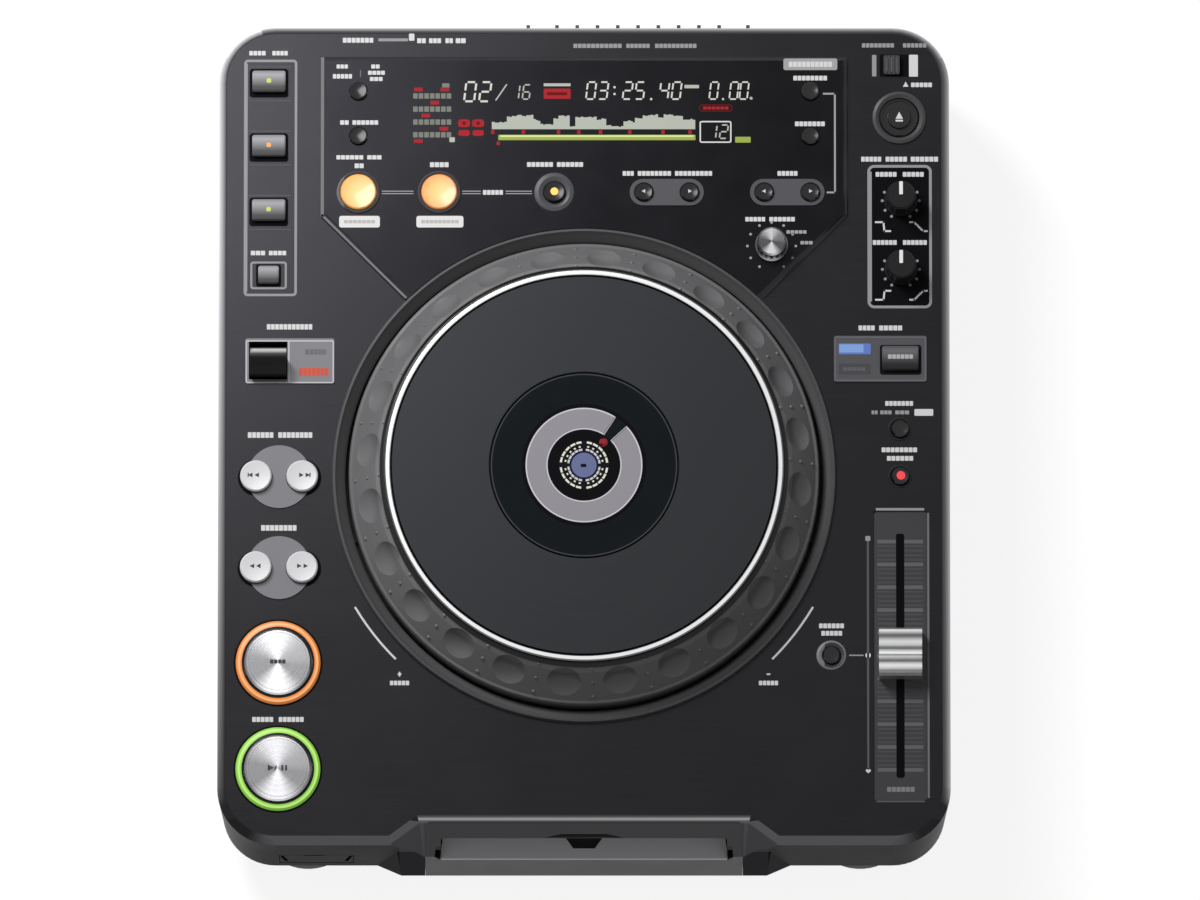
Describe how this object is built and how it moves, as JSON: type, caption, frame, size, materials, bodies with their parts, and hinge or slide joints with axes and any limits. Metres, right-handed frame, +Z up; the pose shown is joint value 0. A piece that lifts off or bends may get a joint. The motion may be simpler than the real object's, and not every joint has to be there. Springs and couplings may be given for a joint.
{
  "type": "tabletop disc player",
  "caption": "Tabletop disc player for disc jockeys: slot-loading drive, large touch-sensitive jog wheel, tempo slider, cue and play keys, display panel and knobs on a low case with feet.",
  "frame": {"origin": "middle of the footprint, on the table under the feet", "axes": "+Z up, +Y to the rear (from the disc slot to the connectors), +X to the right"},
  "size_m": [0.32, 0.37, 0.105],
  "materials": {
    "case_black": "dark charcoal moulded plastic with fine brushed lines",
    "panel_black": "black glossy raised panel",
    "bezel_grey": "satin grey moulding",
    "steel_dark": "dark painted steel sheet",
    "foot_rubber": "black rubber and plastic foot",
    "screw_steel": "zinc-plated screw",
    "wheel_black": "black moulded plastic with soft sheen",
    "wheel_ring": "turned bright ring",
    "plate_grey": "charcoal metal plate, turned",
    "display_black": "dark round display window",
    "silver_cap": "brushed silver cap",
    "light_ring": "lit translucent ring",
    "trim_grey": "grey satin trim",
    "key_white": "pale grey moulded key",
    "key_black": "black domed key",
    "key_amber": "lit amber key",
    "key_dark": "dark grey key",
    "knob_black": "black knob",
    "knob_silver": "silver knob",
    "zinc": "plain zinc-plated sheet and machined steel",
    "inner_black": "black engineering plastic",
    "board_green": "green circuit board with parts",
    "supply": "supply board with its parts",
    "sink_black": "black anodised fins"
  },
  "bodies": {
    "chassis": {"upper_case": "case_black", "bottom_chassis": "steel_dark", "heat_sink": "sink_black", "display_panel": "panel_black", "disc_slot_bezel": "bezel_grey", "jog_bezel": "wheel_black", "jog_base": "inner_black", "jog_display": "display_black", "drive_frame": "zinc", "drive_motors": "zinc", "circuit_boards": "board_green", "power_supply": "supply", "fader_unit": "zinc", "rear_connectors": "inner_black", "feet": "foot_rubber", "light_rings": "light_ring", "control_plates": "trim_grey", "case_screws": "screw_steel"},
    "jog_wheel": {"jog_wheel": "wheel_black", "jog_trim_ring": "wheel_ring"},
    "jog_plate": {"jog_plate": "plate_grey"},
    "tempo_slider": {"tempo_slider": "silver_cap"},
    "play_button": {"play_button": "silver_cap"},
    "cue_button": {"cue_button": "silver_cap"},
    "direction_lever": {"direction_lever": "knob_black"},
    "card_door": {"card_door": "case_black"},
    "lock_slide": {"lock_slide": "knob_black"},
    "touch_brake_knob": {"touch_brake_knob": "knob_black"},
    "release_start_knob": {"release_start_knob": "knob_black"},
    "jog_adjust_knob": {"jog_adjust_knob": "knob_silver"},
    "turntable": {"turntable": "inner_black"},
    "pickup_sled": {"pickup_sled": "inner_black"},
    "feed_screw": {"feed_screw": "zinc"},
    "loading_roller": {"loading_roller": "foot_rubber"},
    "clamp_arm": {"clamp_arm": "zinc"},
    "eject_button": {"eject_button": "key_black"},
    "power_switch": {"power_switch": "key_dark"},
    "search_back_button": {"search_back_button": "key_white"},
    "search_forward_button": {"search_forward_button": "key_white"},
    "track_back_button": {"track_back_button": "key_white"},
    "track_forward_button": {"track_forward_button": "key_white"},
    "loop_in_button": {"loop_in_button": "key_amber"},
    "loop_out_button": {"loop_out_button": "key_amber"},
    "reloop_button": {"reloop_button": "key_black"},
    "hot_key_1": {"hot_key_1": "key_dark"},
    "hot_key_2": {"hot_key_2": "key_dark"},
    "hot_key_3": {"hot_key_3": "key_dark"},
    "record_mode_button": {"record_mode_button": "key_dark"},
    "time_mode_button": {"time_mode_button": "key_black"},
    "text_mode_button": {"text_mode_button": "key_black"},
    "folder_back_button": {"folder_back_button": "key_black"},
    "folder_forward_button": {"folder_forward_button": "key_black"},
    "call_back_button": {"call_back_button": "key_black"},
    "call_forward_button": {"call_forward_button": "key_black"},
    "memory_button": {"memory_button": "key_black"},
    "delete_button": {"delete_button": "key_black"},
    "jog_mode_button": {"jog_mode_button": "key_dark"},
    "tempo_range_button": {"tempo_range_button": "key_black"},
    "master_tempo_button": {"master_tempo_button": "key_black"},
    "tempo_reset_button": {"tempo_reset_button": "key_black"}
  },
  "joints": [
    {"name": "jog_wheel_turn", "type": "hinge", "parent": "chassis", "child": "jog_wheel", "pos_m": [0, -0.0188, 0.095], "axis": [0, 0, 1], "continuous": true},
    {"name": "jog_plate_press", "type": "slide", "parent": "jog_wheel", "child": "jog_plate", "axis": [0, 0, -1], "range_m": [0, 0.0006], "stiffness_N_per_m": 2000, "springref_m": -0.003},
    {"name": "tempo_slide", "type": "slide", "parent": "chassis", "child": "tempo_slider", "axis": [0, 1, 0], "range_m": [-0.0504, 0.0504]},
    {"name": "play_button_press", "type": "slide", "parent": "chassis", "child": "play_button", "axis": [0, 0, -1], "range_m": [0, 0.0015], "stiffness_N_per_m": 400, "springref_m": -0.003},
    {"name": "cue_button_press", "type": "slide", "parent": "chassis", "child": "cue_button", "axis": [0, 0, -1], "range_m": [0, 0.0015], "stiffness_N_per_m": 400, "springref_m": -0.003},
    {"name": "direction_lever_turn", "type": "hinge", "parent": "chassis", "child": "direction_lever", "pos_m": [-0.1382, 0.0326, 0.074], "axis": [-1, 0, 0], "range_deg": [0, 32]},
    {"name": "card_door_turn", "type": "hinge", "parent": "chassis", "child": "card_door", "pos_m": [-0.117, -0.17945, 0.0273], "axis": [1, 0, 0], "range_deg": [0, 90]},
    {"name": "lock_slide_move", "type": "slide", "parent": "chassis", "child": "lock_slide", "axis": [1, 0, 0], "range_m": [0, 0.005]},
    {"name": "touch_brake_turn", "type": "hinge", "parent": "chassis", "child": "touch_brake_knob", "pos_m": [0.1387, 0.1041, 0.09], "axis": [0, 0, 1], "range_deg": [-150, 150]},
    {"name": "release_start_turn", "type": "hinge", "parent": "chassis", "child": "release_start_knob", "pos_m": [0.1387, 0.0734, 0.09], "axis": [0, 0, 1], "range_deg": [-150, 150]},
    {"name": "jog_adjust_turn", "type": "hinge", "parent": "chassis", "child": "jog_adjust_knob", "pos_m": [0.0821, 0.0834, 0.09], "axis": [0, 0, 1], "range_deg": [-150, 150]},
    {"name": "turntable_spin", "type": "hinge", "parent": "chassis", "child": "turntable", "pos_m": [0, -0.096, 0.052], "axis": [0, 0, 1], "continuous": true},
    {"name": "pickup_slide", "type": "slide", "parent": "chassis", "child": "pickup_sled", "axis": [0, 1, 0], "range_m": [0, 0.035]},
    {"name": "feed_screw_spin", "type": "hinge", "parent": "chassis", "child": "feed_screw", "pos_m": [0.02, -0.05, 0.0435], "axis": [0, 1, 0], "range_deg": [0, 4201]},
    {"name": "loading_roller_spin", "type": "hinge", "parent": "chassis", "child": "loading_roller", "pos_m": [0, -0.159, 0.0481], "axis": [1, 0, 0], "continuous": true},
    {"name": "clamp_arm_lift", "type": "hinge", "parent": "chassis", "child": "clamp_arm", "pos_m": [0, -0.028, 0.0584], "axis": [-1, 0, 0], "range_deg": [0, 2.5]},
    {"name": "eject_button_press", "type": "slide", "parent": "chassis", "child": "eject_button", "axis": [0, 0, -1], "range_m": [0, 0.0008], "stiffness_N_per_m": 250, "springref_m": -0.003},
    {"name": "power_switch_press", "type": "slide", "parent": "chassis", "child": "power_switch", "axis": [0, -1, 0], "range_m": [0, 0.0025], "stiffness_N_per_m": 250, "springref_m": -0.003},
    {"name": "search_back_button_press", "type": "slide", "parent": "chassis", "child": "search_back_button", "axis": [0, 0, -1], "range_m": [0, 0.0008], "stiffness_N_per_m": 250, "springref_m": -0.003},
    {"name": "search_forward_button_press", "type": "slide", "parent": "chassis", "child": "search_forward_button", "axis": [0, 0, -1], "range_m": [0, 0.0008], "stiffness_N_per_m": 250, "springref_m": -0.003},
    {"name": "track_back_button_press", "type": "slide", "parent": "chassis", "child": "track_back_button", "axis": [0, 0, -1], "range_m": [0, 0.0008], "stiffness_N_per_m": 250, "springref_m": -0.003},
    {"name": "track_forward_button_press", "type": "slide", "parent": "chassis", "child": "track_forward_button", "axis": [0, 0, -1], "range_m": [0, 0.0008], "stiffness_N_per_m": 250, "springref_m": -0.003},
    {"name": "loop_in_button_press", "type": "slide", "parent": "chassis", "child": "loop_in_button", "axis": [0, 0, -1], "range_m": [0, 0.0008], "stiffness_N_per_m": 250, "springref_m": -0.003},
    {"name": "loop_out_button_press", "type": "slide", "parent": "chassis", "child": "loop_out_button", "axis": [0, 0, -1], "range_m": [0, 0.0008], "stiffness_N_per_m": 250, "springref_m": -0.003},
    {"name": "reloop_button_press", "type": "slide", "parent": "chassis", "child": "reloop_button", "axis": [0, 0, -1], "range_m": [0, 0.0008], "stiffness_N_per_m": 250, "springref_m": -0.003},
    {"name": "hot_key_1_press", "type": "slide", "parent": "chassis", "child": "hot_key_1", "axis": [0, 0, -1], "range_m": [0, 0.0008], "stiffness_N_per_m": 250, "springref_m": -0.003},
    {"name": "hot_key_2_press", "type": "slide", "parent": "chassis", "child": "hot_key_2", "axis": [0, 0, -1], "range_m": [0, 0.0008], "stiffness_N_per_m": 250, "springref_m": -0.003},
    {"name": "hot_key_3_press", "type": "slide", "parent": "chassis", "child": "hot_key_3", "axis": [0, 0, -1], "range_m": [0, 0.0008], "stiffness_N_per_m": 250, "springref_m": -0.003},
    {"name": "record_mode_button_press", "type": "slide", "parent": "chassis", "child": "record_mode_button", "axis": [0, 0, -1], "range_m": [0, 0.0008], "stiffness_N_per_m": 250, "springref_m": -0.003},
    {"name": "time_mode_button_press", "type": "slide", "parent": "chassis", "child": "time_mode_button", "axis": [0, 0, -1], "range_m": [0, 0.0008], "stiffness_N_per_m": 250, "springref_m": -0.003},
    {"name": "text_mode_button_press", "type": "slide", "parent": "chassis", "child": "text_mode_button", "axis": [0, 0, -1], "range_m": [0, 0.0008], "stiffness_N_per_m": 250, "springref_m": -0.003},
    {"name": "folder_back_button_press", "type": "slide", "parent": "chassis", "child": "folder_back_button", "axis": [0, 0, -1], "range_m": [0, 0.0008], "stiffness_N_per_m": 250, "springref_m": -0.003},
    {"name": "folder_forward_button_press", "type": "slide", "parent": "chassis", "child": "folder_forward_button", "axis": [0, 0, -1], "range_m": [0, 0.0008], "stiffness_N_per_m": 250, "springref_m": -0.003},
    {"name": "call_back_button_press", "type": "slide", "parent": "chassis", "child": "call_back_button", "axis": [0, 0, -1], "range_m": [0, 0.0008], "stiffness_N_per_m": 250, "springref_m": -0.003},
    {"name": "call_forward_button_press", "type": "slide", "parent": "chassis", "child": "call_forward_button", "axis": [0, 0, -1], "range_m": [0, 0.0008], "stiffness_N_per_m": 250, "springref_m": -0.003},
    {"name": "memory_button_press", "type": "slide", "parent": "chassis", "child": "memory_button", "axis": [0, 0, -1], "range_m": [0, 0.0008], "stiffness_N_per_m": 250, "springref_m": -0.003},
    {"name": "delete_button_press", "type": "slide", "parent": "chassis", "child": "delete_button", "axis": [0, 0, -1], "range_m": [0, 0.0008], "stiffness_N_per_m": 250, "springref_m": -0.003},
    {"name": "jog_mode_button_press", "type": "slide", "parent": "chassis", "child": "jog_mode_button", "axis": [0, 0, -1], "range_m": [0, 0.0008], "stiffness_N_per_m": 250, "springref_m": -0.003},
    {"name": "tempo_range_button_press", "type": "slide", "parent": "chassis", "child": "tempo_range_button", "axis": [0, 0, -1], "range_m": [0, 0.0008], "stiffness_N_per_m": 250, "springref_m": -0.003},
    {"name": "master_tempo_button_press", "type": "slide", "parent": "chassis", "child": "master_tempo_button", "axis": [0, 0, -1], "range_m": [0, 0.0008], "stiffness_N_per_m": 250, "springref_m": -0.003},
    {"name": "tempo_reset_button_press", "type": "slide", "parent": "chassis", "child": "tempo_reset_button", "axis": [0, 0, -1], "range_m": [0, 0.0008], "stiffness_N_per_m": 250, "springref_m": -0.003}
  ],
  "couplings": [
    {"joint": "feed_screw_spin", "follows": "pickup_slide", "rad_per_m": 2094.4}
  ]
}
